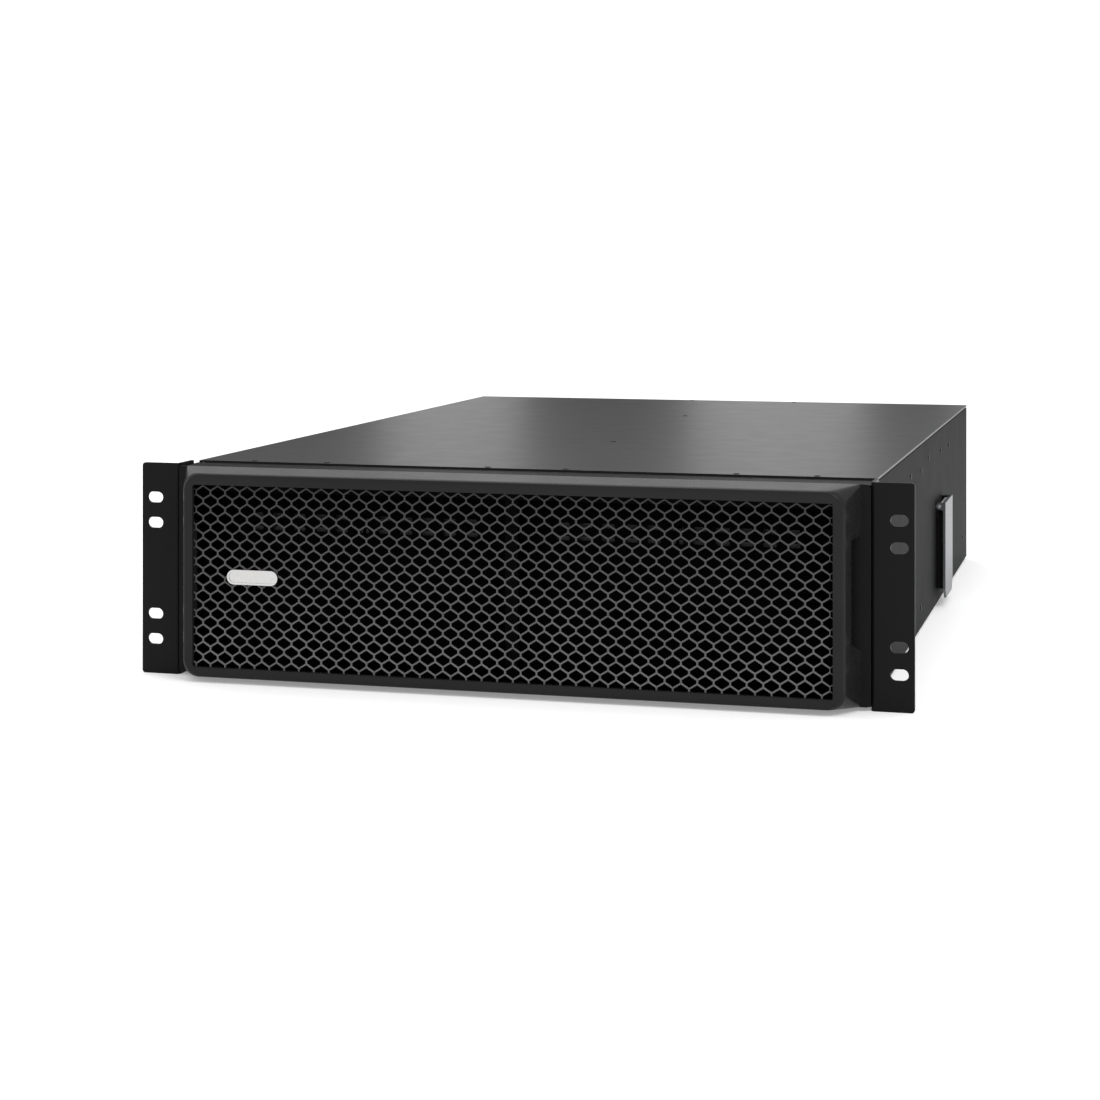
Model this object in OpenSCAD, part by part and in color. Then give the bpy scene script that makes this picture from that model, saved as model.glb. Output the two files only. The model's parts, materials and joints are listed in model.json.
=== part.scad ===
// Battery pack for a 19 inch rack, three units high.
// X runs across the front, Y runs back into the rack and Z is up.
// The origin is under the middle of the pack, level with the bottom of the rack ears.

/* [Rack ears] */
// Width over both rack ears
ear_span = 482.6; // [482.0:0.1:483.0]
// Height of a rack ear
ear_h = 132.2; // [131.6:0.1:132.4]
// Thickness of the ear plate
ear_t = 2; // [1.6:0.1:2.4]
// Length of the ear's leg along the side wall
ear_leg = 22; // [18:1:24]
// Distance between the slot columns of the two ears
slot_span = 465.1; // [464.6:0.1:465.6]
// Width of a mounting slot
slot_w = 6.8; // [6.4:0.1:7.2]
// Overall length of a mounting slot
slot_len = 10.5; // [9.5:0.1:11.5]
// Height of the lowest slot above the bottom of the ear
slot_z = 21.6; // [20.6:0.1:22.6]

/* [Chassis] */
// Width over the side walls
body_w = 432; // [430:0.5:433]
// Depth from the front of the ears to the rear panel
body_d = 658; // [652:1:664]
// Height of the chassis bottom above the bottom of the ears
body_z = 2.3; // [2.0:0.1:2.8]
// Height of the top of the cover
top_z = 131.4; // [131.0:0.1:131.6]
// Thickness of the steel sheet
sheet = 1.2; // [1.0:0.1:1.4]
// Depth of the bare strip in front of the top cover
collar_d = 30; // [28:1:32]

/* [Bezel] */
// Distance that the bezel stands in front of the ears
bezel_d = 22.9; // [22:0.1:24]
// Width of the bezel's front face
face_w = 407; // [405:0.5:409]
// Lowest point of the front face
face_z0 = 3.6; // [3.2:0.1:4.0]
// Highest point of the front face
face_z1 = 128.5; // [128.0:0.1:129.0]
// Corner radius of the front face
face_r = 11; // [9:0.5:13]
// Width of the mesh opening
open_w = 394.4; // [392:0.2:396]
// Lowest point of the mesh opening
open_z0 = 9.8; // [9:0.1:11]
// Highest point of the mesh opening
open_z1 = 121.6; // [120:0.1:122]

/* [Lift handles] */
// Distance from the ears to the front end of a lift handle
handle_y = 384; // [380:1:390]
// Length of a lift handle along the side wall
handle_len = 58; // [56:1:60]
// Lowest point of a lift handle
handle_z0 = 7; // [6:0.5:9]
// Highest point of a lift handle
handle_z1 = 78; // [76:0.5:80]

/* [Battery modules] */
// Width of one battery block
block_w = 90; // [88:0.5:91]
// Depth of one battery block
block_d = 69; // [67:0.5:69.5]
// Height of one battery block's case
block_h = 101; // [98:1:102]
// Rows of blocks in one module
block_rows = 8; // [7:1:8]

/* [Hidden] */

$fn = 32;
rear_reach = 6;
y_ear = bezel_d - (bezel_d + body_d + rear_reach) / 2;
half_w = body_w / 2;
inner_w = half_w - sheet;
cover_z = top_z - sheet;
side_z = top_z - 2.2;
floor_z = body_z + sheet;
collar_top = top_z - 1.2;
slot_zs = [for (dz = [0, 15.875, 73.025, 88.9]) slot_z + dz];
ear_screw_y = 12;
ear_screw_zs = [24, 66, 108];

seam_gap = 0.7;
screw_sunk = 0.35;
cover_points = concat(
    [for (x = [-180, -131, -25, 25, 131, 180]) [x, collar_d + 5]],
    [[8, 230], [8, 476], [-22, body_d - 6], [68, body_d - 6]]);
rivet_points = [[215, 114], [282, 111.5], [279, 16.5], [335, 116], [426, 113], [492, 111.5], [621, 23]];

module_front_y = 14;
front_plate_y = module_front_y - 2.2;
module_t = 1;
module_gap = 2;
module_x0 = 5;
module_w = 2 * block_w + 3 * module_gap + 2 * module_t;
module_mid = module_x0 + module_w / 2;
module_z0 = floor_z;
block_z0 = module_z0 + module_t;
block_top = block_z0 + block_h;
module_len = block_rows * (block_d + 1) + 12;
module_end = module_front_y + module_len;
dock_y = module_end + 30;
terminal_h = 7;
terminal_x = 30;
terminal_y = 10;
pull_x = 40;
pull_z = 40;
thumbscrew_x = [module_x0 + 10, module_x0 + module_w - 10];
thumbscrew_z = 60;

handle_t = 1.8;
pin_r = 1.25;
pin_x = half_w + 2.9;
pin_z = handle_z1 - 2.6;
plate_x = pin_x + 2.7;

socket_w = 66;
socket_h = 34;
socket_x = [40, 130];
socket_z = 72;
socket_wall = 3;
jack_x = [-150, -126];
jack_z = 66;
breaker_x = -78;
breaker_z = 70;
toggle_y = body_d + 1.5;
stud_x = -192;
stud_z = 28;

grip_z0 = 35;
grip_z1 = 101;
mesh_t = 1.2;
frame_t = 2.4;
mesh_y = frame_t - bezel_d + 0.1;
clip_x = [-186, -70, 70, 186];
side_clip_x = 209;
side_clip_z = [18, 114];
roof_z = open_z1 + 3.5;

steel_black = "#26272a";
steel_grey = "#3b3d40";
zinc = "#a9b3ba";
plastic_black = "#1d1e20";
brass = "#b8954a";
copper = "#b87345";

// Left edge of a column of battery blocks, and front edge of a row.
function block_x(col) = module_x0 + module_t + module_gap + col * (block_w + module_gap);
function block_y(row) = module_front_y + 2 + row * (block_d + 1);

// Puts a shape drawn from the front face of the ears into the pack's own frame.
module in_pack() { translate([0, y_ear, 0]) children(); }

// The same shape on one side: 1 is right, -1 is left.
module on_side(side) { if (side > 0) children(); else mirror([1, 0, 0]) children(); }

// A box from its lowest corner to its highest corner.
module block(low, high) { translate(low) cube(high - low); }

// A cylinder along Y that starts at a point.
module y_cyl(at, r, len) { translate(at) rotate([-90, 0, 0]) cylinder(r = r, h = len); }

// A cylinder along X that starts at a point.
module x_cyl(at, r, len) { translate(at) rotate([0, 90, 0]) cylinder(r = r, h = len); }

// A slot with round ends that runs along X and is cut through along Y.
module x_slot(x, z, len, width, y0, depth) {
    for (dx = [-1, 1]) y_cyl([x + dx * (len - width) / 2, y0, z], width / 2, depth);
    block([x - (len - width) / 2, y0, z - width / 2], [x + (len - width) / 2, y0 + depth, z + width / 2]);
}

// A flat cross-head screw: a domed head with a cross recess, on a short shank.
module screw_up(at, r) {
    translate(at) difference() {
        cylinder(r = r, h = 0.7);
        for (a = [0, 90]) rotate([0, 0, a]) translate([-r * 0.6, -0.25, 0.35]) cube([r * 1.2, 0.5, 1]);
    }
    translate(at - [0, 0, 0.7]) cylinder(r = r * 0.55, h = 0.7);
}

// Steel channel: floor, two side walls and the folded hems that carry the cover.
module chassis_tray() {
    hem_w = 12;
    color(steel_black) in_pack() difference() {
        union() {
            difference() {
                block([-half_w, 0, body_z], [half_w, body_d, side_z]);
                block([-inner_w, -1, floor_z], [inner_w, body_d + 1, side_z + 1]);
            }
            for (side = [0, 1]) mirror([side, 0, 0])
                block([inner_w - hem_w, collar_d + 4, side_z - sheet], [inner_w, body_d - 4, cover_z]);
        }
        for (side = [-1, 1]) for (z = ear_screw_zs) x_cyl([side * half_w - 3, ear_screw_y, z], 1.6, 6);
    }
}

// Flat steel cover with short lips over the two side walls.
module top_cover() {
    color(steel_grey) in_pack() difference() {
        union() {
            block([-half_w, collar_d, cover_z], [half_w, body_d, top_z]);
            for (side = [0, 1]) mirror([side, 0, 0])
                block([inner_w, collar_d, side_z + seam_gap], [half_w, body_d, cover_z + 0.1]);
        }
        for (p = cover_points) {
            translate([p[0], p[1], cover_z - 1]) cylinder(r = 1.3, h = 3);
            translate([p[0], p[1], top_z - screw_sunk]) cylinder(r = 2, h = 1);
        }
    }
}

// Small flat screws in the cover.
module cover_screws() {
    color(steel_black) in_pack() for (p = cover_points) screw_up([p[0], p[1], top_z - screw_sunk], 1.9);
}

// Low rivet heads on the side walls.
module side_rivets() {
    color(steel_black) in_pack() for (side = [0, 1]) mirror([side, 0, 0])
        for (p = rivet_points)
            difference() {
                x_cyl([half_w, p[0], p[1]], 1.6, 0.5);
                x_cyl([half_w + 0.25, p[0], p[1]], 0.8, 1);
            }
}

// Steel frame round the two module bays, with a collar at the top and slots for the bezel's clips.
module front_frame() {
    frame_y = 1;
    color(steel_black) in_pack() difference() {
        union() {
            block([-inner_w + 0.2, frame_y, floor_z], [inner_w - 0.2, frame_y + sheet, side_z - 0.2]);
            block([-half_w, frame_y, side_z + 0.1], [half_w, collar_d - 0.3, collar_top]);
            block([-inner_w + 0.2, frame_y, side_z - 1], [inner_w - 0.2, collar_d - 0.3, side_z + 0.2]);
        }
        for (side = [0, 1]) mirror([side, 0, 0])
            block([module_x0 - 1, -1, floor_z - 1], [module_x0 + module_w + 1, 4, block_top + 10]);
        for (x = clip_x) block([x - 5.5, -1, side_z - 8.5], [x + 5.5, 4, side_z - 2.5]);
        for (side = [-1, 1]) for (z = side_clip_z)
            block([side * side_clip_x - 3.5, -1, z - 5.5], [side * side_clip_x + 3.5, 4, z + 5.5]);
    }
}

// Spring clips behind the front frame that hold the bezel's top clips.
module bezel_catches() {
    color(zinc) in_pack() for (x = clip_x) {
        block([x - 4, 2.4, side_z - 2], [x + 4, 14, side_z - 1.2]);
        block([x - 4, 13.2, side_z - 9], [x + 4, 14, side_z - 1.2]);
    }
}

// Upright wall between the two battery modules.
module centre_divider() {
    color(steel_grey) in_pack() {
        block([-0.6, 6, floor_z], [0.6, dock_y, side_z - 3]);
        block([-0.6, collar_d + 4, side_z - 3.1], [0.6, dock_y, cover_z]);
        block([-0.6, collar_d + 4, cover_z - sheet], [16, dock_y, cover_z]);
    }
}

// Cross wall behind the modules that carries the docking sockets.
module dock_bulkhead() {
    color(steel_grey) in_pack() difference() {
        block([-inner_w + 0.2, dock_y + 0.2, floor_z],
            [inner_w - 0.2, dock_y + 0.2 + sheet, side_z - 1.4]);
        for (side = [-1, 1]) {
            block([side * module_mid - 17, dock_y - 1, 42], [side * module_mid + 17, dock_y + 4, 66]);
            for (x = [-70, -56, 56, 70]) for (z = [85, 95, 105])
                block([side * module_mid + x - 5, dock_y - 1, z],
                    [side * module_mid + x + 5, dock_y + 4, z + 4]);
        }
    }
}

// Rear panel with openings for the sockets, the jacks and the breaker.
module rear_panel() {
    color(steel_black) in_pack() difference() {
        block([-inner_w + 0.1, body_d - sheet, floor_z], [inner_w - 0.1, body_d, cover_z - 0.1]);
        for (x = socket_x)
            block([x - socket_w / 2 + 1, body_d - 4, socket_z - socket_h / 2 + 1],
                [x + socket_w / 2 - 1, body_d + 4, socket_z + socket_h / 2 - 1]);
        for (x = jack_x) block([x - 8, body_d - 4, jack_z - 7], [x + 8, body_d + 4, jack_z + 7]);
        block([breaker_x - 15, body_d - 4, breaker_z - 24], [breaker_x + 15, body_d + 4, breaker_z + 24]);
        y_cyl([stud_x, body_d - 4, stud_z], 2.6, 8);
        for (i = [0:17]) for (z = [103, 110, 117])
            x_slot(-190 + i * 11.5, z, 8, 3, body_d - 4, 8);
    }
}

// One rack ear: a flange with four slots, bent into a leg on the side wall.
module rack_ear(side) {
    bend_r = 2.4;
    corner_r = 2;
    wall_x = half_w + 0.1;
    edge_x = ear_span / 2;
    color(steel_black) in_pack() on_side(side) difference() {
        union() {
            y_cyl([edge_x - corner_r, 0, corner_r], corner_r, ear_t);
            y_cyl([edge_x - corner_r, 0, ear_h - corner_r], corner_r, ear_t);
            block([wall_x + bend_r, 0, 0], [edge_x - corner_r, ear_t, ear_h]);
            block([wall_x + bend_r, 0, corner_r], [edge_x, ear_t, ear_h - corner_r]);
            translate([wall_x + bend_r, bend_r, 0]) cylinder(r = bend_r, h = ear_h);
            block([wall_x, bend_r, 0], [wall_x + ear_t, ear_leg, ear_h]);
        }
        block([wall_x + ear_t, ear_t, -1], [edge_x + 1, ear_leg + 1, ear_h + 1]);
        for (z = slot_zs) x_slot(slot_span / 2, z, slot_len, slot_w, -1, ear_t + 2);
        for (z = ear_screw_zs) x_cyl([wall_x - 1, ear_screw_y, z], 1.6, ear_t + 2);
    }
}
module rack_ear_left() { rack_ear(-1); }
module rack_ear_right() { rack_ear(1); }

// Screws that fasten the ear legs to the side walls.
module ear_screws() {
    color(steel_black) in_pack() for (side = [0, 1]) mirror([side, 0, 0]) for (z = ear_screw_zs) {
        x_cyl([half_w - 2.5, ear_screw_y, z], 1.5, ear_t + 2.6);
        difference() {
            x_cyl([half_w + 0.1 + ear_t, ear_screw_y, z], 3, 1.2);
            for (a = [0, 90]) translate([half_w + ear_t + 0.8, ear_screw_y, z]) rotate([a, 0, 0])
                translate([0, -1.8, -0.3]) cube([1, 3.6, 0.6]);
        }
    }
}

// Sheet steel tray of one battery module.
module module_tray(side) {
    color(zinc) in_pack() on_side(side) difference() {
        block([module_x0, module_front_y, module_z0], [module_x0 + module_w, module_end, block_z0 + 62]);
        block([module_x0 + module_t, module_front_y - 1, block_z0],
            [module_x0 + module_w - module_t, module_end - module_t, block_top]);
        block([module_mid - 18, module_end - 3, 67], [module_mid + 18, module_end + 1, 90]);
    }
}
module module_tray_left() { module_tray(-1); }
module module_tray_right() { module_tray(1); }

// Front plate of one battery module.
module module_front(side) {
    color(steel_grey) in_pack() on_side(side) difference() {
        block([module_x0, front_plate_y, module_z0],
            [module_x0 + module_w, module_front_y - 0.1, block_top + 9]);
        for (x = thumbscrew_x) y_cyl([x, module_front_y - 4, thumbscrew_z], 2.6, 8);
        for (i = [-5:5]) for (z = [92, 100]) x_slot(module_mid + i * 14, z, 9, 3, module_front_y - 4, 8);
        for (x = [-1, 1]) y_cyl([module_mid + x * pull_x, module_front_y - 4, pull_z], 2.5, 8);
    }
}
module module_front_left() { module_front(-1); }
module module_front_right() { module_front(1); }

// Bent rod that a battery module is pulled out by.
module module_pull(side) {
    rod_r = 2.4;
    rod_y = front_plate_y - 12;
    color(steel_black) in_pack() on_side(side) {
        for (x = [-1, 1]) {
            y_cyl([module_mid + x * pull_x, rod_y, pull_z], rod_r, module_front_y - 0.1 - rod_y);
            translate([module_mid + x * pull_x, rod_y, pull_z]) sphere(r = rod_r);
        }
        x_cyl([module_mid - pull_x, rod_y, pull_z], rod_r, 2 * pull_x);
    }
}
module module_pull_left() { module_pull(-1); }
module module_pull_right() { module_pull(1); }

// Captive knurled screws that lock the module fronts to the frame.
module module_thumbscrews() {
    color(plastic_black) in_pack() for (side = [-1, 1]) on_side(side)
        for (x = thumbscrew_x) {
            y_cyl([x, front_plate_y, thumbscrew_z], 2.5, 3.6);
            translate([x, front_plate_y - 8, thumbscrew_z]) rotate([-90, 0, 0]) difference() {
                cylinder(r = 5.5, h = 8);
                for (a = [0:30:330]) rotate([0, 0, a]) translate([5.6, 0, -1]) cylinder(r = 0.7, h = 10);
                translate([-4, -0.6, -1]) cube([8, 1.2, 2.2]);
            }
        }
}

// The sealed battery blocks of one module, two across in rows from front to back.
module battery_blocks(side) {
    color(steel_grey) in_pack() on_side(side) for (col = [0, 1]) for (row = [0:block_rows - 1]) {
        x = block_x(col);
        y = block_y(row);
        block([x, y, block_z0], [x + block_w, y + block_d, block_top - 6]);
        block([x + 1.5, y + 1.5, block_top - 6.1], [x + block_w - 1.5, y + block_d - 1.5, block_top]);
    }
}
module battery_blocks_left() { battery_blocks(-1); }
module battery_blocks_right() { battery_blocks(1); }

// Blade terminals on every battery block.
module block_terminals() {
    color(brass) in_pack() for (side = [-1, 1]) on_side(side)
        for (col = [0, 1]) for (row = [0:block_rows - 1]) for (t = [-1, 1]) {
            x = block_x(col) + block_w / 2 + t * terminal_x;
            y = block_y(row) + terminal_y;
            block([x - 3.1, y - 0.4, block_top], [x + 3.1, y + 0.4, block_top + terminal_h - 1]);
        }
}

// Straps that link each block to the next one in its column.
module link_straps() {
    color(copper) in_pack() for (side = [-1, 1]) on_side(side)
        for (col = [0, 1]) for (row = [0:block_rows - 2]) {
            t = (row % 2 == 0) ? 1 : -1;
            x = block_x(col) + block_w / 2 + t * terminal_x;
            y = block_y(row) + terminal_y;
            block([x - 2.5, y + 0.4, block_top + 0.6], [x + 2.5, y + block_d + 0.6, block_top + 1.6]);
        }
}

// Insulating sheet over the terminals of one module.
module cover_sheet(side) {
    color("#d7d2c0") in_pack() on_side(side)
        block([module_x0 + 2, module_front_y + 1, block_top + terminal_h - 1],
            [module_x0 + module_w - 2, module_end - 2, block_top + terminal_h]);
}
module cover_sheet_left() { cover_sheet(-1); }
module cover_sheet_right() { cover_sheet(1); }

// Power plugs on the rear walls of the modules.
module module_plugs() {
    color("#8f2a22") in_pack() for (side = [-1, 1]) on_side(side) {
        difference() {
            block([module_mid - 15, module_end, 44], [module_mid + 15, module_end + 16, 64]);
            for (x = [-7, 7])
                block([module_mid + x - 4.5, module_end + 6, 48],
                    [module_mid + x + 4.5, module_end + 17, 60]);
        }
        block([module_mid - 17, module_end, 42], [module_mid + 17, module_end + 2, 66]);
    }
}

// Sockets on the bulkhead that the modules plug into.
module dock_sockets() {
    color(plastic_black) in_pack() for (side = [-1, 1]) on_side(side) {
        block([module_mid - 16, module_end + 16.3, 43], [module_mid + 16, dock_y + 8, 65]);
        for (x = [-7, 7])
            block([module_mid + x - 3.5, module_end + 8, 50],
                [module_mid + x + 3.5, module_end + 16.4, 58]);
    }
}

// Cartridge fuses, one in each battery string, on insulating blocks.
module string_fuses() {
    color("#d9d4c4") in_pack() for (x = [-60, 60]) {
        block([x - 18, dock_y + 10, floor_z], [x + 18, dock_y + 26, 20]);
        x_cyl([x - 14, dock_y + 18, 29], 5, 28);
        for (dx = [-18, 13]) block([x + dx, dock_y + 14, 19.9], [x + dx + 5, dock_y + 22, 36]);
    }
}

// Copper bars between the docking sockets, the fuses and the power sockets.
module busbars() {
    color(copper) in_pack() {
        for (side = [-1, 1]) on_side(side)
            block([module_mid - 4, dock_y + 8, 44], [module_mid + 4, dock_y + 10, 64]);
        block([-module_mid - 4, dock_y + 8, 44], [socket_x[1] + 6, dock_y + 10, 50]);
        for (x = socket_x) {
            block([x - 6, dock_y + 8, 44], [x + 6, body_d - 24, 48]);
            block([x - 6, body_d - 26, 44], [x + 6, body_d - 24, 76]);
        }
    }
}

// Monitoring board with its components.
module monitor_board() {
    color("#1f5a34") in_pack() {
        block([-190, dock_y + 8, 78], [-112, dock_y + 9.6, 118]);
        for (i = [0:3]) block([-186 + i * 18, dock_y + 9.5, 84], [-174 + i * 18, dock_y + 13, 94]);
        block([-184, dock_y + 9.5, 100], [-150, dock_y + 16, 112]);
    }
}

// Standoffs between the monitoring board and the bulkhead.
module board_standoffs() {
    color(brass) in_pack() for (x = [-186, -116]) for (z = [81, 115])
        y_cyl([x, dock_y + 0.2 + sheet, z], 2.5, 6.6);
}

// One power socket: a deep rectangular shell with a flange on the rear panel.
module power_socket(x) {
    w = socket_w / 2;
    h = socket_h / 2;
    color(plastic_black) in_pack() difference() {
        union() {
            block([x - w + 1.2, body_d - 24, socket_z - h + 1.2],
                [x + w - 1.2, body_d + 0.1, socket_z + h - 1.2]);
            block([x - w, body_d, socket_z - h], [x + w, body_d + rear_reach, socket_z + h]);
        }
        block([x - w + socket_wall + 2, body_d - 20, socket_z - h + socket_wall + 2],
            [x + w - socket_wall - 2, body_d + rear_reach + 1, socket_z + h - socket_wall - 2]);
    }
}
module power_socket_in() { power_socket(socket_x[0]); }
module power_socket_out() { power_socket(socket_x[1]); }

// Two contacts in each power socket.
module power_contacts() {
    color(copper) in_pack() for (x = socket_x) for (dx = [-14, 14])
        block([x + dx - 5, body_d - 20, socket_z - 2], [x + dx + 5, body_d - 8, socket_z + 2]);
}

// Pair of data jacks for the monitoring link.
module data_jacks() {
    color(plastic_black) in_pack() for (x = jack_x) difference() {
        block([x - 7.8, body_d - 16, jack_z - 6.8], [x + 7.8, body_d + 1, jack_z + 6.8]);
        block([x - 6, body_d - 12, jack_z - 5], [x + 6, body_d + 2, jack_z + 3.5]);
        block([x - 3, body_d - 12, jack_z + 3.4], [x + 3, body_d + 2, jack_z + 5.2]);
    }
}

// Grounding stud with its nut and washer.
module ground_stud() {
    color(brass) in_pack() {
        y_cyl([stud_x, body_d - 3, stud_z], 2.5, 8.5);
        y_cyl([stud_x, body_d, stud_z], 5, 1);
        translate([stud_x, body_d + 0.9, stud_z]) rotate([-90, 0, 0]) cylinder(r = 4.4, h = 3.4, $fn = 6);
    }
}

// Body of the battery breaker, with a raised frame on each side of the toggle.
module breaker_body() {
    color(plastic_black) in_pack() difference() {
        union() {
            block([breaker_x - 14.6, body_d - 30, breaker_z - 23.6],
                [breaker_x + 14.6, body_d + 0.1, breaker_z + 23.6]);
            block([breaker_x - 17, body_d, breaker_z - 27], [breaker_x + 17, body_d + 3, breaker_z + 27]);
        }
        block([breaker_x - 6, body_d - 9.5, breaker_z - 13], [breaker_x + 6, body_d + 4, breaker_z + 13]);
        x_cyl([breaker_x - 12, toggle_y - 5, breaker_z], 1.3, 24);
    }
}

// Pin that the breaker's toggle turns on.
module breaker_pin() {
    color(zinc) in_pack() x_cyl([breaker_x - 11.9, toggle_y - 5, breaker_z], 1.25, 23.8);
}

// Toggle of the breaker, drawn leaning up, in its on position.
module breaker_toggle() {
    hub_r = 4.4;
    lever_r = 1.6;
    reach = 7.6;
    lean = 25;
    color("#e6e6e2") in_pack() translate([breaker_x, toggle_y - 5, breaker_z]) difference() {
        union() {
            translate([-5.6, 0, 0]) rotate([0, 90, 0]) cylinder(r = hub_r, h = 11.2);
            rotate([lean, 0, 0]) {
                block([-5, 0, -lever_r], [5, reach, lever_r]);
                translate([-5, reach, 0]) rotate([0, 90, 0]) cylinder(r = lever_r, h = 10);
            }
        }
        translate([-7, 0, 0]) rotate([0, 90, 0]) cylinder(r = 1.31, h = 14);
    }
}

// Shallow black pan behind a lift handle, with two lugs for the pin.
module handle_housing(side) {
    y0 = handle_y + 5;
    y1 = handle_y + handle_len - 5;
    z1 = pin_z - 4;
    lug_y = [handle_y + handle_t + 0.4, handle_y + handle_len - handle_t - 4.4];
    color(plastic_black) in_pack() on_side(side) difference() {
        union() {
            block([half_w, y0, 14], [half_w + 1, y1, z1]);
            for (y = [y0, y1 - 1.5]) block([half_w, y, 14], [plate_x - 0.4, y + 1.5, z1]);
            block([half_w, y0, z1 - 1.5], [plate_x - 0.6, y1, z1]);
            for (y = lug_y) {
                y_cyl([pin_x, y, pin_z], 2.3, 4);
                block([half_w, y, pin_z - 9], [pin_x - 0.6, y + 4, pin_z + 2.3]);
            }
        }
        for (y = lug_y) y_cyl([pin_x, y - 1, pin_z], pin_r + 0.02, 6);
    }
}
module handle_housing_left() { handle_housing(-1); }
module handle_housing_right() { handle_housing(1); }

// Hinge pins of the lift handles.
module handle_pins() {
    color(zinc) in_pack() for (side = [-1, 1]) on_side(side)
        y_cyl([pin_x, handle_y - 0.6, pin_z], pin_r, handle_len + 1.2);
}

// Zinc-plated lift handle: a plate with a lug bent in at each end.
module lift_handle(side) {
    chamfer = 7;
    color(zinc) in_pack() on_side(side) difference() {
        union() {
            translate([plate_x, 0, 0]) rotate([90, 0, 90]) linear_extrude(handle_t) polygon([
                [handle_y, handle_z0 + chamfer], [handle_y + chamfer, handle_z0],
                [handle_y + handle_len - chamfer, handle_z0], [handle_y + handle_len, handle_z0 + chamfer],
                [handle_y + handle_len, handle_z1], [handle_y, handle_z1]]);
            for (y = [handle_y, handle_y + handle_len - handle_t]) {
                y_cyl([pin_x, y, pin_z], 2.6, handle_t);
                block([pin_x, y, pin_z - 2.6], [plate_x + 0.1, y + handle_t, pin_z + 2.6]);
            }
        }
        y_cyl([pin_x, handle_y - 1, pin_z], pin_r + 0.06, handle_len + 2);
    }
}
module lift_handle_left() { lift_handle(-1); }
module lift_handle_right() { lift_handle(1); }

// Solid outline of the bezel: square at the chassis, rounded at the front face.
module bezel_outline() {
    back_y = -0.4;
    flange_y = -2;
    wall_x = face_w / 2 + 7.8;
    hull() {
        block([-wall_x, flange_y, body_z], [wall_x, back_y, collar_top + 1]);
        for (x = [-1, 1]) for (z = [face_z0 + face_r, face_z1 - face_r])
            y_cyl([x * (face_w / 2 - face_r), -bezel_d, z], face_r, 2);
    }
    block([0.6 - half_w, flange_y, body_z], [half_w - 0.6, back_y, collar_top + 1]);
}

// Moulded bezel: a tapered shell round the mesh, with a finger grip in each side.
module bezel_frame() {
    grip_floor = 203;
    color(plastic_black) in_pack() difference() {
        bezel_outline();
        difference() {
            block([-open_w / 2 - 4, frame_t - bezel_d, open_z0 - 3.5],
                [open_w / 2 + 4, 5, roof_z]);
            for (side = [0, 1]) mirror([side, 0, 0])
                block([open_w / 2 + 2.8, mesh_y + mesh_t + 0.3, 0], [open_w, 6, 140]);
        }
        block([-open_w / 2, -bezel_d - 1, open_z0], [open_w / 2, 5, open_z1]);
        for (side = [0, 1]) mirror([side, 0, 0]) {
            block([grip_floor, -7, grip_z0], [half_w + 1, -2, grip_z1]);
            translate([grip_floor + 1, -7.1, grip_z0]) linear_extrude(grip_z1 - grip_z0)
                polygon([[0, 0], [0, 0.3], [20, 0.3], [20, -12], [2, -9], [0.5, -6]]);
        }
    }
}

// Sheet steel mesh behind the bezel's opening.
module bezel_mesh() {
    cell_x = 19.32;
    cell_z = 10.67;
    cell_tip = 5.9;
    cell_shoulder = 2.2;
    cell_side = cell_x / 2 - 1;
    cols = 19;
    rows = 9;
    color(steel_grey) in_pack() difference() {
        block([-open_w / 2 - 2.4, mesh_y, open_z0 - 2.4],
            [open_w / 2 + 2.4, mesh_y + mesh_t, open_z1 + 2.4]);
        for (i = [0:cols - 1]) for (j = [0:rows - 1])
            translate([(i - (cols - 1) / 2) * cell_x + (j % 2 - 0.5) * cell_x / 2,
                mesh_y - 1, (open_z0 + open_z1) / 2 + (j - (rows - 1) / 2) * cell_z])
                rotate([-90, 0, 0]) linear_extrude(mesh_t + 2) polygon([
                    [0, cell_tip], [cell_side, cell_shoulder], [cell_side, -cell_shoulder],
                    [0, -cell_tip], [-cell_side, -cell_shoulder], [-cell_side, cell_shoulder]]);
    }
}

// Hooks that hold the bezel in the front frame.
module bezel_clips() {
    color(plastic_black) in_pack() {
        for (x = clip_x) {
            block([x - 5, -4, side_z - 7], [x + 5, 10, side_z - 5]);
            block([x - 5, 8, side_z - 5.1], [x + 5, 10, side_z - 4.2]);
            block([x - 5, -5, side_z - 7], [x + 5, -3, roof_z]);
        }
        for (side = [-1, 1]) for (z = side_clip_z)
            block([side * side_clip_x - 2.5, -0.4, z - 5], [side * side_clip_x + 2.5, 6, z + 5]);
    }
}

// Screws that hold the mesh in the bezel.
module mesh_screws() {
    color(zinc) in_pack() for (x = [-150, -50, 50, 150]) for (z = [open_z0 - 1.9, open_z1 + 1.9])
        y_cyl([x, mesh_y + mesh_t, z], 1.5, 1.6);
}

// Blank plate at the left of the mesh.
module badge_plate() {
    badge_w = 33;
    badge_h = 9;
    badge_t = mesh_y + bezel_d - 0.4;
    badge_x = -158;
    badge_z = 65.8;
    color("#d2d5d8") in_pack() translate([badge_x, 0, badge_z]) {
        difference() {
            x_slot(0, 0, badge_w, badge_h, 0.4 - bezel_d, badge_t);
            x_slot(0, 0, badge_w - 2.4, badge_h - 2.4, -bezel_d, 0.9);
        }
        y_cyl([-1.4, mesh_y - 0.1, 0], 2, 3);
    }
}

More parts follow.
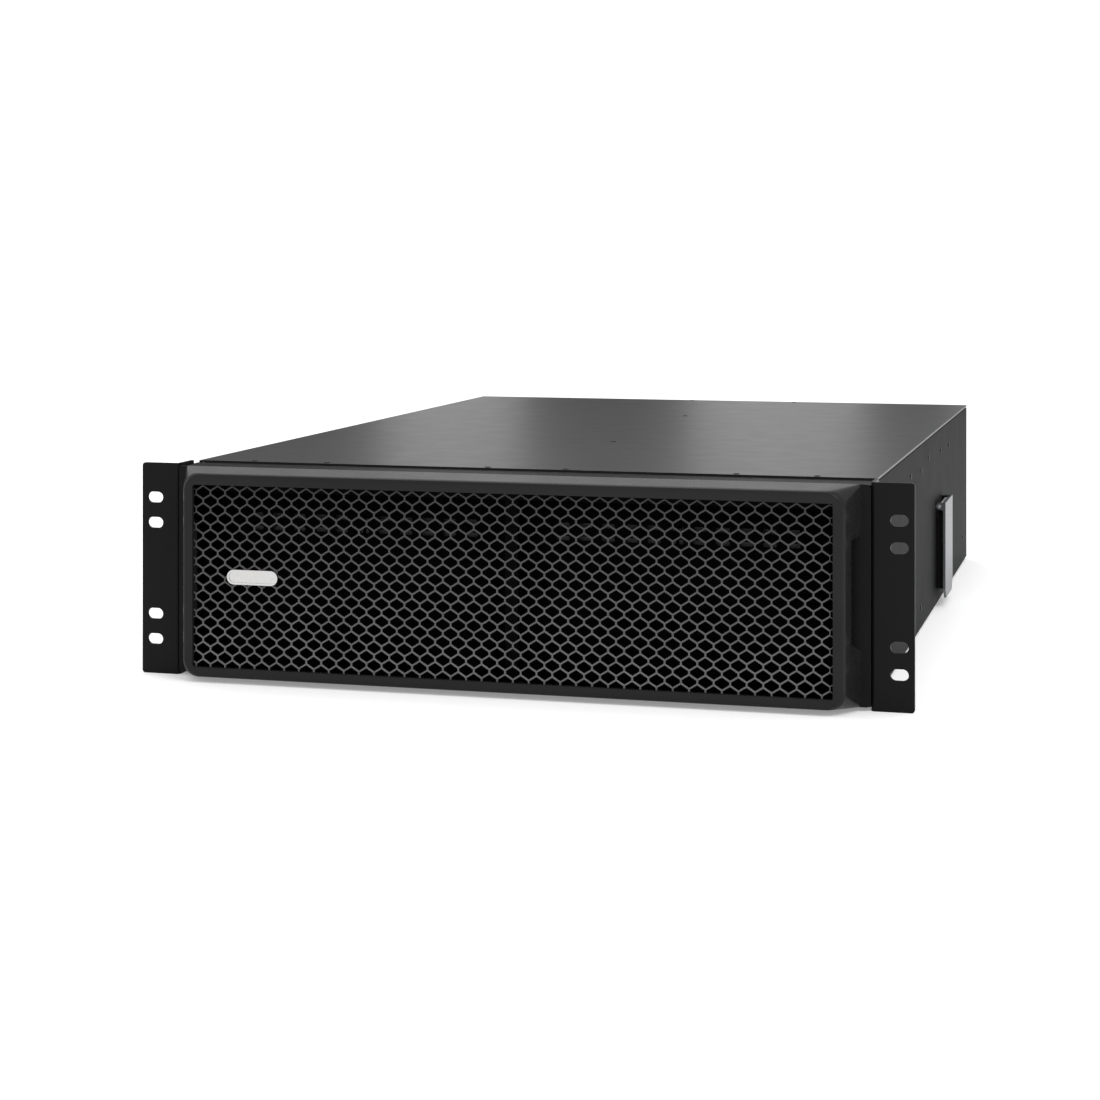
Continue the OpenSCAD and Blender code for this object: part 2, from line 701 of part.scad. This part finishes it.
chassis_tray();
top_cover();
rear_panel();
front_frame();
centre_divider();
dock_bulkhead();
rack_ear_left();
rack_ear_right();
ear_screws();
cover_screws();
side_rivets();
module_tray_left();
module_tray_right();
module_front_left();
module_front_right();
module_pull_left();
module_pull_right();
module_thumbscrews();
battery_blocks_left();
battery_blocks_right();
block_terminals();
link_straps();
cover_sheet_left();
cover_sheet_right();
module_plugs();
dock_sockets();
string_fuses();
busbars();
monitor_board();
board_standoffs();
power_socket_in();
power_socket_out();
power_contacts();
data_jacks();
ground_stud();
breaker_body();
breaker_pin();
breaker_toggle();
handle_housing_left();
handle_housing_right();
handle_pins();
lift_handle_left();
lift_handle_right();
bezel_catches();
bezel_frame();
bezel_mesh();
bezel_clips();
mesh_screws();
badge_plate();
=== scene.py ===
"""Looks of the rack battery pack: camera, studio, materials and the detailed bezel and mesh."""
import json
import math

import bmesh
import bpy
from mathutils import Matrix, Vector


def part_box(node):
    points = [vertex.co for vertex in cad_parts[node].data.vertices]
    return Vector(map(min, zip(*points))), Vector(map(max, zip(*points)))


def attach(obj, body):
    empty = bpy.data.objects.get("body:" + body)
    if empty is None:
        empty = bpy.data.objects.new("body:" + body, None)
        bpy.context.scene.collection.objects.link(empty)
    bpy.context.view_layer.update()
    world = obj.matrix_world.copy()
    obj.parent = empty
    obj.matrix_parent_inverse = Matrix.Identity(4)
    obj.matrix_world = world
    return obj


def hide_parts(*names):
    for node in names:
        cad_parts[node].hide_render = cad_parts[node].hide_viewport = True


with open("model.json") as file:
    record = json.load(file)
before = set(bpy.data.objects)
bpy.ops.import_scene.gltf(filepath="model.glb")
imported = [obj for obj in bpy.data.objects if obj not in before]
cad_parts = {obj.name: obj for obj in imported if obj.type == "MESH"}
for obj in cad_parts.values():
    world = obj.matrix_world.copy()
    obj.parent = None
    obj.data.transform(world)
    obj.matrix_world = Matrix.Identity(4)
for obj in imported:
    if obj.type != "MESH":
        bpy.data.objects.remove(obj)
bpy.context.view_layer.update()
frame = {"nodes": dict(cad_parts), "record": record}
NODES = frame["nodes"]
MM = 0.001

# ---------------------------------------------------------------- places, from the frame
BEZEL_LO, BEZEL_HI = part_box("bezel_frame")
MESH_LO, MESH_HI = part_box("bezel_mesh")
EAR_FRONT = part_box("rack_ear_right")[0][1]
FACE_Y = BEZEL_LO[1]
BACK_Y = BEZEL_HI[1]


def link(obj):
    """Puts a new object in the scene."""
    bpy.context.scene.collection.objects.link(obj)
    return obj


# ---------------------------------------------------------------- camera
CAMERA_RIGHT = 0.3795
CAMERA_BEFORE_EARS = 1.3139
CAMERA_UP = 0.2702
CAMERA_TURN = 0.264
LENS_MM = 74.37
SENSOR_MM = 36
CLIP_NEAR, CLIP_FAR = 0.05, 60
SHIFT_UP = -0.2791


def make_camera():
    """A level camera at the right of the front, shifted down to the pack."""
    data = bpy.data.cameras.new("camera")
    data.sensor_width = SENSOR_MM
    data.lens = LENS_MM
    data.shift_y = SHIFT_UP
    data.clip_start = CLIP_NEAR
    data.clip_end = CLIP_FAR
    cam = link(bpy.data.objects.new("camera", data))
    cam.location = (CAMERA_RIGHT, EAR_FRONT - CAMERA_BEFORE_EARS, CAMERA_UP)
    cam.rotation_euler = (math.pi / 2, 0, CAMERA_TURN)
    bpy.context.scene.camera = cam


make_camera()


# ---------------------------------------------------------------- node helpers
def new_material(name):
    """An empty material: (material, nodes, links, shader)."""
    mat = bpy.data.materials.new(name)
    mat.use_nodes = True
    tree = mat.node_tree
    return mat, tree.nodes, tree.links, tree.nodes["Principled BSDF"]


def place(nodes, links, scale=(1, 1, 1)):
    """Object coordinates, stretched by scale."""
    coords = nodes.new("ShaderNodeTexCoord")
    mapping = nodes.new("ShaderNodeMapping")
    mapping.inputs["Scale"].default_value = scale
    links.new(coords.outputs["Object"], mapping.inputs["Vector"])
    return mapping.outputs["Vector"]


def noise(nodes, links, where, scale, detail):
    """A noise value at so many cells per metre."""
    tex = nodes.new("ShaderNodeTexNoise")
    tex.inputs["Scale"].default_value = scale
    tex.inputs["Detail"].default_value = detail
    links.new(where, tex.inputs["Vector"])
    return tex.outputs["Fac"]


def ramp(nodes, links, value, low, high, start=0.3, end=0.7):
    """The value's middle range mapped to low..high, as a number."""
    node = nodes.new("ShaderNodeMapRange")
    node.inputs["From Min"].default_value = start
    node.inputs["From Max"].default_value = end
    node.inputs["To Min"].default_value = low
    node.inputs["To Max"].default_value = high
    links.new(value, node.inputs["Value"])
    return node.outputs["Result"]


def mix_colour(nodes, links, factor, first, second):
    """A mix of two colours, or of a colour and a colour output."""
    node = nodes.new("ShaderNodeMix")
    node.data_type = "RGBA"
    links.new(factor, node.inputs["Factor"])
    for socket, colour in (("A", first), ("B", second)):
        target = [s for s in node.inputs if s.name == socket and s.type == "RGBA"][0]
        if isinstance(colour, tuple):
            target.default_value = (*colour, 1)
        else:
            links.new(colour, target)
    return [s for s in node.outputs if s.type == "RGBA"][0]


def bump(nodes, links, heights, shader):
    """A chain of bumps: heights is a list of (value, strength, distance in metres)."""
    last = None
    for value, strength, distance in heights:
        node = nodes.new("ShaderNodeBump")
        node.inputs["Strength"].default_value = strength
        node.inputs["Distance"].default_value = distance
        links.new(value, node.inputs["Height"])
        if last:
            links.new(last, node.inputs["Normal"])
        last = node.outputs["Normal"]
    links.new(last, shader.inputs["Normal"])


# ---------------------------------------------------------------- materials
# Noise and cell scales, in cells per metre
COAT_PEEL, COAT_MOTTLE, COAT_DUST = 2600, 9, 45
MOULD_GRAIN, MOULD_FLOW, MOULD_GLOSS = 3800, 9, 60
ZINC_LINES, ZINC_PATCHES, ZINC_FINE = 1500, 60, 900
PART_DRIFT, PART_GRAIN = 40, 700
MESH_PEEL, MESH_PATCHES = 2200, 35
# How far the noise is stretched along x, y and z
FLOW_STRETCH = (1, 3, 5)
LINE_STRETCH = (1, 1, 0.04)
# Bumps as (strength, depth in metres)
COAT_BUMP = (0.05, 0.05 * MM)
MOULD_BUMP = (0.02, 0.02 * MM)
ZINC_LINE_BUMP = (0.12, 0.05 * MM)
ZINC_FINE_BUMP = (0.1, 0.04 * MM)
PART_BUMP = (0.15, 0.05 * MM)
MESH_BUMP = (0.2, 0.06 * MM)
# Colour drift, as factors of the base colour
COAT_TINTS = (0.92, 1.08)
MOULD_TINTS = (0.88, 1.12)
PART_TINTS = (0.85, 1.12)
ZINC_WARMTH = (1.05, 1, 0.93)
# Roughness drift, added to the base roughness
COAT_GLOSS = (-0.012, 0.015)
MOULD_GLOSS_DRIFT = (-0.015, 0.02)
ZINC_GLOSS = (-0.07, 0.1)
PART_GLOSS = (-0.05, 0.07)
MESH_GLOSS = (-0.06, 0.08)
MESH_SPECULAR = 0.25
# Largest share by which random dark patches pull the mesh's painted floor light back to its top colour
DARK_PATCH_SHARE = 0.35


def drift_colour(nodes, links, value, colour, tints, shader):
    """Lets the base colour drift between two tints with a noise value."""
    dark, light = [tuple(min(1, c * tint) for c in colour) for tint in tints]
    links.new(mix_colour(nodes, links, ramp(nodes, links, value, 0, 1), dark, light),
              shader.inputs["Base Color"])


def drift_gloss(nodes, links, value, roughness, drift, shader):
    """Lets the roughness drift with a noise value."""
    links.new(ramp(nodes, links, value, roughness + drift[0], roughness + drift[1]),
              shader.inputs["Roughness"])


def powder_coat(name, colour, roughness, specular):
    """Sprayed powder coat: fine orange peel, faint mottling and uneven gloss."""
    mat, nodes, links, shader = new_material(name)
    where = place(nodes, links)
    peel = noise(nodes, links, where, COAT_PEEL, 2)
    mottle = noise(nodes, links, where, COAT_MOTTLE, 2)
    dust = noise(nodes, links, where, COAT_DUST, 3)
    drift_colour(nodes, links, mottle, colour, COAT_TINTS, shader)
    drift_gloss(nodes, links, dust, roughness, COAT_GLOSS, shader)
    shader.inputs["Specular IOR Level"].default_value = specular
    bump(nodes, links, [(peel, *COAT_BUMP)], shader)
    return mat


def moulded(name, colour, roughness, specular=0.4):
    """Moulded plastic with a spark-eroded grain and faint flow marks."""
    mat, nodes, links, shader = new_material(name)
    where = place(nodes, links)
    cells = nodes.new("ShaderNodeTexVoronoi")
    cells.inputs["Scale"].default_value = MOULD_GRAIN
    links.new(where, cells.inputs["Vector"])
    flow = noise(nodes, links, place(nodes, links, FLOW_STRETCH), MOULD_FLOW, 4)
    patches = noise(nodes, links, where, MOULD_GLOSS, 3)
    drift_colour(nodes, links, flow, colour, MOULD_TINTS, shader)
    drift_gloss(nodes, links, patches, roughness, MOULD_GLOSS_DRIFT, shader)
    shader.inputs["Specular IOR Level"].default_value = specular
    bump(nodes, links, [(cells.outputs["Distance"], *MOULD_BUMP)], shader)
    return mat


def zinc_plate(name, colour, roughness):
    """Blue-passivated zinc: crystalline patches, rolling lines and a cool tint that drifts."""
    mat, nodes, links, shader = new_material(name)
    where = place(nodes, links)
    lines = noise(nodes, links, place(nodes, links, LINE_STRETCH), ZINC_LINES, 3)
    patches = noise(nodes, links, where, ZINC_PATCHES, 5)
    fine = noise(nodes, links, where, ZINC_FINE, 4)
    warm = tuple(c * warmth for c, warmth in zip(colour, ZINC_WARMTH))
    links.new(mix_colour(nodes, links, ramp(nodes, links, patches, 0, 1), colour, warm),
              shader.inputs["Base Color"])
    drift_gloss(nodes, links, fine, roughness, ZINC_GLOSS, shader)
    shader.inputs["Metallic"].default_value = 1
    bump(nodes, links, [(lines, *ZINC_LINE_BUMP), (fine, *ZINC_FINE_BUMP)], shader)
    return mat


def plain_part(name, colour, roughness, metallic=0.0):
    """A small inner part: fine grain, slight colour drift and uneven gloss."""
    mat, nodes, links, shader = new_material(name)
    where = place(nodes, links)
    slow = noise(nodes, links, where, PART_DRIFT, 3)
    fine = noise(nodes, links, where, PART_GRAIN, 3)
    drift_colour(nodes, links, slow, colour, PART_TINTS, shader)
    drift_gloss(nodes, links, fine, roughness, PART_GLOSS, shader)
    shader.inputs["Metallic"].default_value = metallic
    bump(nodes, links, [(fine, *PART_BUMP)], shader)
    return mat


def mesh_steel(name, upper, lit_lower, roughness):
    """Coated mesh with painted light: dark at the top edge and lighter towards the bottom, as if lit
    from the floor; random patches stay nearer the dark top colour.
    """
    mat, nodes, links, shader = new_material(name)
    where = place(nodes, links)
    split = nodes.new("ShaderNodeSeparateXYZ")
    links.new(where, split.inputs["Vector"])
    # Painted light: the share of the lighter bottom colour, growing from the top of the sheet to its
    # bottom
    floor_light_share = ramp(nodes, links, split.outputs["Z"], 1, 0, MESH_LO[2], MESH_HI[2])
    peel = noise(nodes, links, where, MESH_PEEL, 2)
    patches = noise(nodes, links, where, MESH_PATCHES, 4)
    painted_floor_light = mix_colour(nodes, links, floor_light_share, upper, lit_lower)
    patchy_painted_light = mix_colour(nodes, links, ramp(nodes, links, patches, 0, DARK_PATCH_SHARE), painted_floor_light, upper)
    links.new(patchy_painted_light, shader.inputs["Base Color"])
    drift_gloss(nodes, links, patches, roughness, MESH_GLOSS, shader)
    shader.inputs["Specular IOR Level"].default_value = MESH_SPECULAR
    bump(nodes, links, [(peel, *MESH_BUMP)], shader)
    return mat


SLOTS = {
    "chassis_black": powder_coat("chassis_black", (0.018, 0.0183, 0.019), 0.5, specular=0.008),
    "cover_black": powder_coat("cover_black", (0.012, 0.0122, 0.013), 0.33, specular=0.14),
    "ear_black": powder_coat("ear_black", (0.0045, 0.0045, 0.005), 0.36, specular=0.09),
    "screw_black": powder_coat("screw_black", (0.006, 0.006, 0.0065), 0.35, specular=0.3),
    "zinc_plate": zinc_plate("zinc_plate", (0.13, 0.146, 0.16), 0.34),
    "zinc_fastener": zinc_plate("zinc_fastener", (0.6, 0.61, 0.63), 0.3),
    # The inner parts' near-zero black is partly their own black and partly painted shade for the dark
    # space behind the mesh
    "inner_black": powder_coat("inner_black", (0.0012, 0.0012, 0.0012), 0.85, specular=0.02),
    "block_case": moulded("block_case", (0.02, 0.02, 0.022), 0.5),
    "brass": plain_part("brass", (0.72, 0.53, 0.25), 0.3, 1.0),
    "copper": plain_part("copper", (0.72, 0.40, 0.24), 0.32, 1.0),
    "clear_sheet": plain_part("clear_sheet", (0.62, 0.6, 0.52), 0.45),
    "plug_red": moulded("plug_red", (0.3, 0.04, 0.03), 0.45),
    "black_plastic": moulded("black_plastic", (0.005, 0.005, 0.0055), 0.42, specular=0.08),
    "fuse_ceramic": plain_part("fuse_ceramic", (0.7, 0.68, 0.6), 0.25),
    "board_green": plain_part("board_green", (0.03, 0.14, 0.06), 0.3),
    "toggle_white": moulded("toggle_white", (0.7, 0.7, 0.68), 0.3),
    "bezel_plastic": moulded("bezel_plastic", (0.0115, 0.0115, 0.012), 0.27, specular=0.12),
    # The mesh's second colour is the lighter bottom end of its painted floor light
    "mesh_black": mesh_steel("mesh_black", (0.026, 0.026, 0.027), (0.12, 0.12, 0.123), 0.4),
    "badge_silver": zinc_plate("badge_silver", (0.52, 0.53, 0.54), 0.3),
}
# The front frame is glossier than the rest of its slot, for the strip seen before the cover. Its
# near-zero black is partly its own black and partly painted shade, for the dark strip and the dark
# space behind the mesh.
SHADED_COLLAR = powder_coat("collar_black_and_shade", (0.0012, 0.0012, 0.0012), 0.42, specular=0.03)


# ---------------------------------------------------------------- CAD pieces that stay
BEVELS_MM = {
    "top_cover": 0.45, "chassis_tray": 0.4, "rear_panel": 0.2, "front_frame": 0.3,
    "rack_ear_left": 0.35, "rack_ear_right": 0.35, "lift_handle_left": 0.4, "lift_handle_right": 0.4,
    "handle_housing_left": 0.25, "handle_housing_right": 0.25, "power_socket_in": 0.6,
    "power_socket_out": 0.6, "data_jacks": 0.3, "breaker_body": 0.5, "breaker_toggle": 0.5,
    "badge_plate": 0.35, "ear_screws": 0.15, "cover_screws": 0.1, "side_rivets": 0.1,
    "module_front_left": 0.3, "module_front_right": 0.3, "battery_blocks_left": 0.8,
    "battery_blocks_right": 0.8, "ground_stud": 0.25, "handle_pins": 0.2,
    "module_thumbscrews": 0.2, "power_contacts": 0.5, "busbars": 0.3, "string_fuses": 0.4,
    "monitor_board": 0.2, "module_plugs": 0.6, "dock_sockets": 0.6,
}
BEVEL_ANGLE = 40


def soften(obj, width_mm):
    """Rounds the sharp edges of a piece with a small bevel."""
    bevel = obj.modifiers.new("edge", "BEVEL")
    bevel.width = width_mm * MM
    bevel.segments = 2
    bevel.limit_method = "ANGLE"
    bevel.angle_limit = math.radians(BEVEL_ANGLE)
    bevel.harden_normals = False
    smooth = obj.modifiers.new("normals", "WEIGHTED_NORMAL")
    smooth.keep_sharp = True


def dress_cad():
    """Gives each CAD piece its slot's material and its bevel."""
    slots = {row["node"]: row["material_slot"] for row in frame["record"]["subparts"]}
    for name, obj in NODES.items():
        obj.data.materials.clear()
        obj.data.materials.append(SLOTS[slots[name]])
        if name in BEVELS_MM:
            soften(obj, BEVELS_MM[name])
    # Partly painted shade: the front frame takes the near-zero black collar material
    NODES["front_frame"].data.materials[0] = SHADED_COLLAR


dress_cad()


def add_piece(name, bm, material, body, replaced):
    """Turns a bmesh into a piece that rides on a body and replaces CAD nodes."""
    data = bpy.data.meshes.new(name)
    bm.normal_update()
    bm.to_mesh(data)
    bm.free()
    obj = link(bpy.data.objects.new(name, data))
    data.materials.append(material)
    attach(obj, body)
    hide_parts(*replaced)
    return obj


# ---------------------------------------------------------------- honeycomb mesh
CELL_W = 9.67 * MM
ROW_PITCH = 5.33 * MM
UPRIGHT = 2.3 * MM
STRAND = 1.05 * MM
MESH_CHAMFER = 0.22 * MM
PATTERN_X, PATTERN_Z = 2.1 * MM, -2.2 * MM
WELD = 0.01 * MM


def hexagon(shrink):
    """Corners of a cell, moved in by shrink from the middle of its strands."""
    half = CELL_W / 2
    slant = math.atan2(ROW_PITCH - UPRIGHT, half)
    tip = ROW_PITCH - UPRIGHT / 2 - shrink / math.cos(slant)
    shoulder = UPRIGHT / 2 - shrink * (1 - math.sin(slant)) / math.cos(slant)
    side = half - shrink
    return [(0, tip), (side, shoulder), (side, -shoulder),
            (0, -tip), (-side, -shoulder), (-side, shoulder)]


def make_mesh():
    """Sheet with rows of six-sided holes; the cells at the rim are cut off by the sheet's edge."""
    bm = bmesh.new()
    front, back = MESH_LO[1], MESH_HI[1]
    rings = [
        (hexagon(0), front), (hexagon(STRAND / 2 - MESH_CHAMFER), front),
        (hexagon(STRAND / 2), front + MESH_CHAMFER), (hexagon(STRAND / 2), back - MESH_CHAMFER),
        (hexagon(STRAND / 2 - MESH_CHAMFER), back), (hexagon(0), back)]
    mid_x = (MESH_LO[0] + MESH_HI[0]) / 2 + PATTERN_X
    mid_z = (MESH_LO[2] + MESH_HI[2]) / 2 + PATTERN_Z
    cols = int((MESH_HI[0] - MESH_LO[0]) / CELL_W / 2) + 2
    rows = int((MESH_HI[2] - MESH_LO[2]) / ROW_PITCH / 2) + 2

    def clamp(x, z):
        """Keeps a point on the sheet."""
        return (min(max(x, MESH_LO[0]), MESH_HI[0]), min(max(z, MESH_LO[2]), MESH_HI[2]))

    for j in range(-rows, rows + 1):
        for i in range(-cols, cols + 1):
            cx = mid_x + (i + (j % 2) / 2) * CELL_W
            cz = mid_z + j * ROW_PITCH
            if not (MESH_LO[0] < cx < MESH_HI[0] and MESH_LO[2] < cz < MESH_HI[2]):
                continue
            loops = []
            for ring, y in rings:
                corners = [clamp(cx + x, cz + z) for x, z in ring]
                loops.append([bm.verts.new((x, y, z)) for x, z in corners])
            for a, b in zip(loops, loops[1:]):
                for k in range(6):
                    bm.faces.new((a[k], a[(k + 1) % 6], b[(k + 1) % 6], b[k]))
    bmesh.ops.remove_doubles(bm, verts=bm.verts, dist=WELD)
    bmesh.ops.dissolve_degenerate(bm, dist=WELD, edges=bm.edges)
    bmesh.ops.recalc_face_normals(bm, faces=bm.faces)
    add_piece("honeycomb_mesh", bm, SLOTS["mesh_black"], "bezel", ("bezel_mesh",))


make_mesh()


# ---------------------------------------------------------------- bezel moulding
FACE_HALF = 203.5 * MM
FACE_LOW, FACE_HIGH = 3.6 * MM, 128.5 * MM
FACE_RADIUS = 11 * MM
OPEN_HALF = 197.2 * MM
OPEN_LOW, OPEN_HIGH = 9.8 * MM, 121.6 * MM
OPEN_RADIUS = 1.2 * MM
SHELL = 2.6 * MM
EDGE_ROLL = 1.5 * MM
GRIP_LOW, GRIP_HIGH = 35 * MM, 101 * MM
GRIP_DEPTH = 5.5 * MM
WALL_BACK_HALF = 211.3 * MM
BACK_RADIUS = 1.2 * MM
MIN_RADIUS = 0.6 * MM
RADIUS_EASE = 1.15
# Places along the depth, as shares of it from the back to the front
FLANGE_T = 0.07
OUTER_STEPS = [FLANGE_T, 0.1, 0.13, 0.16] + [percent / 100 for percent in range(22, 89, 6)]
INNER_STEPS = (0.82, 0.6, 0.4, 0.2, 0.06, 0)
# The first strips of faces are the flange at the back, in the darker plastic: painted shade for the
# dark band at the back of the bezel's sides
SHADED_FLANGE_RINGS = 3
FLANGE_LIP = 0.25 * MM
FLANGE_LIP_DEPTH = 0.3 * MM
ROLL_STEPS = 5
# Rings of the opening's edge in mm: how much wider than the opening, and how far behind the face
OPENING_RINGS_MM = ((0.35, 0), (0.1, 0.1), (0, 0.35), (0, 2.4), (3.2, 2.4))
SPLIT_ANGLE = 42
GRIP_START = 9 * MM
GRIP_SLOPE = 3.5 * MM
GRIP_END_SLOPE = 2.5 * MM
CORNER_STEPS = 8
SIDE_STEPS = 36


def smoothstep(low, high, value):
    """0 below low, 1 above high and smooth between them."""
    t = min(max((value - low) / (high - low), 0), 1)
    return t * t * (3 - 2 * t)


def outline(x_half, low, high, radius):
    """A rounded rectangle as (x, z) points: the same number of points whatever its size."""
    corners = [(x_half - radius, high - radius, 0), (-x_half + radius, high - radius, 90),
               (-x_half + radius, low + radius, 180), (x_half - radius, low + radius, 270)]
    points = []
    for index, (cx, cz, start) in enumerate(corners):
        for step in range(CORNER_STEPS + 1):
            a = math.radians(start + 90 * step / CORNER_STEPS)
            points.append((cx + radius * math.cos(a), cz + radius * math.sin(a)))
        nx, nz, nstart = corners[(index + 1) % 4]
        a = math.radians(nstart)
        first, last = points[-1], (nx + radius * math.cos(a), nz + radius * math.sin(a))
        for step in range(1, SIDE_STEPS):
            t = step / SIDE_STEPS
            points.append((first[0] + (last[0] - first[0]) * t, first[1] + (last[1] - first[1]) * t))
    return points


def grip(x, y, z):
    """Pushes a point of the side wall in where the finger grip is."""
    behind_face = y - FACE_Y
    across = smoothstep(GRIP_START, GRIP_START + GRIP_SLOPE, behind_face)
    rise = smoothstep(GRIP_LOW, GRIP_LOW + GRIP_END_SLOPE, z)
    along = rise * (1 - smoothstep(GRIP_HIGH - GRIP_END_SLOPE, GRIP_HIGH, z))
    return x - math.copysign(GRIP_DEPTH * across * along, x)


def make_bezel():
    """Tapered shell, rolled front edge, flat frame round the opening, and its inside."""
    bm = bmesh.new()
    back_half, back_low, back_high = BEZEL_HI[0], BEZEL_LO[2], BEZEL_HI[2]
    depth = BACK_Y - FACE_Y
    rings = []

    def wall(t, inset):
        """Outline at t of the way from the back to the front, moved in by inset."""
        radius = BACK_RADIUS + (FACE_RADIUS - BACK_RADIUS) * t ** RADIUS_EASE - inset
        half = WALL_BACK_HALF + (FACE_HALF - WALL_BACK_HALF) * t - inset
        low = back_low + (FACE_LOW - back_low) * t + inset
        high = back_high + (FACE_HIGH - back_high) * t - inset
        return half, low, high, max(radius, MIN_RADIUS)

    def wall_ring(t, inset):
        """The wall's outline at t as points, pushed in at the finger grips."""
        y = BACK_Y - depth * t
        return [(grip(x, y, z) if abs(x) > OPEN_HALF else x, y, z) for x, z in outline(*wall(t, inset))]

    roll_t = 1 - EDGE_ROLL / depth
    for y in (BACK_Y, BACK_Y - FLANGE_LIP_DEPTH, BACK_Y - FLANGE_T * depth):
        _, low, high, radius = wall(FLANGE_T, 0)
        lip = FLANGE_LIP if y == BACK_Y else 0
        rings.append([(x, y, z) for x, z in outline(back_half - lip, low + lip, high - lip, radius)])
    for t in OUTER_STEPS + [roll_t]:
        rings.append(wall_ring(t, 0))
    half, low, high, radius = wall(1, 0)
    for step in range(1, ROLL_STEPS + 1):
        a = math.radians(90 * step / ROLL_STEPS)
        inset = EDGE_ROLL * (1 - math.cos(a))
        y = FACE_Y + EDGE_ROLL * (1 - math.sin(a))
        points = outline(half - inset, low + inset, high - inset, radius - inset)
        rings.append([(x, y, z) for x, z in points])
    for grow_mm, behind_mm in OPENING_RINGS_MM:
        grow, y = grow_mm * MM, FACE_Y + behind_mm * MM
        rings.append([(x, y, z) for x, z in
                      outline(OPEN_HALF + grow, OPEN_LOW - grow, OPEN_HIGH + grow, OPEN_RADIUS + grow)])
    for t in INNER_STEPS:
        rings.append(wall_ring(t, SHELL))
    loops = [[bm.verts.new(p) for p in ring] for ring in rings]
    count = len(loops[0])
    for index, (a, b) in enumerate(zip(loops, loops[1:] + loops[:1])):
        for k in range(count):
            face = bm.faces.new((a[k], a[(k + 1) % count], b[(k + 1) % count], b[k]))
            # Painted shade: the back flange's faces take the darker plastic
            face.material_index = 1 if index < SHADED_FLANGE_RINGS else 0
    bmesh.ops.recalc_face_normals(bm, faces=bm.faces)
    for face in bm.faces:
        face.smooth = True
    obj = add_piece("bezel_moulding", bm, SLOTS["bezel_plastic"], "bezel",
                    ("bezel_frame",))
    # The darker plastic, for the flange's painted shade
    obj.data.materials.append(SLOTS["black_plastic"])
    split = obj.modifiers.new("split", "EDGE_SPLIT")
    split.split_angle = math.radians(SPLIT_ANGLE)


make_bezel()


# ---------------------------------------------------------------- studio
FLOOR_SIZE = 20
FLOOR_GREY = 0.8
FLOOR_GLOW = 0.26
WORLD_STRENGTH = 1.06
FLAG_GREY = 0.01
FLAG_HEIGHT = 1.3
FLAG_DISTANCE = 4.0
# Flags as (degrees from straight behind towards the right, width in degrees)
FLAGS = ((-27, 10), (-14, 6), (-3, 3.5), (10, 13))
# Lights as (name, place, aim, size, watts)
LIGHTS = (
    ("key", (1.5, -1.6, 2.2), (0, -0.2, 0.05), (1.2, 1.2), 26),
    ("top", (-0.4, 0.5, 2.4), (0, 0.1, 0.1), (1.6, 1.6), 18),
)


def area_light(name, at, aim, size, power):
    """A rectangular soft light that points from one place to another."""
    data = bpy.data.lights.new(name, "AREA")
    data.shape = "RECTANGLE"
    data.size, data.size_y = size
    data.energy = power
    obj = link(bpy.data.objects.new(name, data))
    obj.location = at
    obj.rotation_euler = (Vector(aim) - Vector(at)).to_track_quat("-Z", "Y").to_euler()
    obj.visible_camera = False


def make_floor():
    """A plain pale floor that glows a little, so that it shows nearly white."""
    bm = bmesh.new()
    bmesh.ops.create_grid(bm, x_segments=2, y_segments=2, size=FLOOR_SIZE)
    data = bpy.data.meshes.new("floor")
    bm.to_mesh(data)
    bm.free()
    floor = link(bpy.data.objects.new("floor", data))
    mat, _, _, shader = new_material("floor_white")
    shader.inputs["Base Color"].default_value = (FLOOR_GREY, FLOOR_GREY, FLOOR_GREY, 1)
    shader.inputs["Emission Color"].default_value = (1, 1, 1, 1)
    shader.inputs["Emission Strength"].default_value = FLOOR_GLOW
    shader.inputs["Roughness"].default_value = 0.9
    shader.inputs["Specular IOR Level"].default_value = 0.1
    data.materials.append(mat)


def make_world():
    """Even white surroundings."""
    world = bpy.data.worlds.new("studio")
    world.use_nodes = True
    shader = world.node_tree.nodes["Background"]
    shader.inputs["Color"].default_value = (1, 1, 1, 1)
    shader.inputs["Strength"].default_value = WORLD_STRENGTH
    bpy.context.scene.world = world


def dark_flag(name, azimuth, width):
    """A dark panel far behind the pack that only shows as a soft dark band in glossy surfaces."""
    bm = bmesh.new()
    turn = math.radians(azimuth)
    half = FLAG_DISTANCE * math.tan(math.radians(width) / 2)
    centre = Vector((math.sin(turn), math.cos(turn), 0)) * FLAG_DISTANCE
    side = Vector((math.cos(turn), -math.sin(turn), 0)) * half
    up = Vector((0, 0, FLAG_HEIGHT))
    corners = [centre - side, centre + side, centre + side + up, centre - side + up]
    bm.faces.new([bm.verts.new(c) for c in corners])
    data = bpy.data.meshes.new(name)
    bm.to_mesh(data)
    bm.free()
    flag = link(bpy.data.objects.new(name, data))
    mat, _, _, shader = new_material(name)
    shader.inputs["Base Color"].default_value = (FLAG_GREY, FLAG_GREY, FLAG_GREY, 1)
    shader.inputs["Roughness"].default_value = 1
    data.materials.append(mat)
    flag.visible_camera = False
    flag.visible_diffuse = False
    flag.visible_shadow = False


make_floor()
make_world()
for index, (azimuth, width) in enumerate(FLAGS):
    dark_flag("flag_%d" % index, azimuth, width)
for light in LIGHTS:
    area_light(*light)
bpy.context.scene.view_settings.view_transform = "Standard"
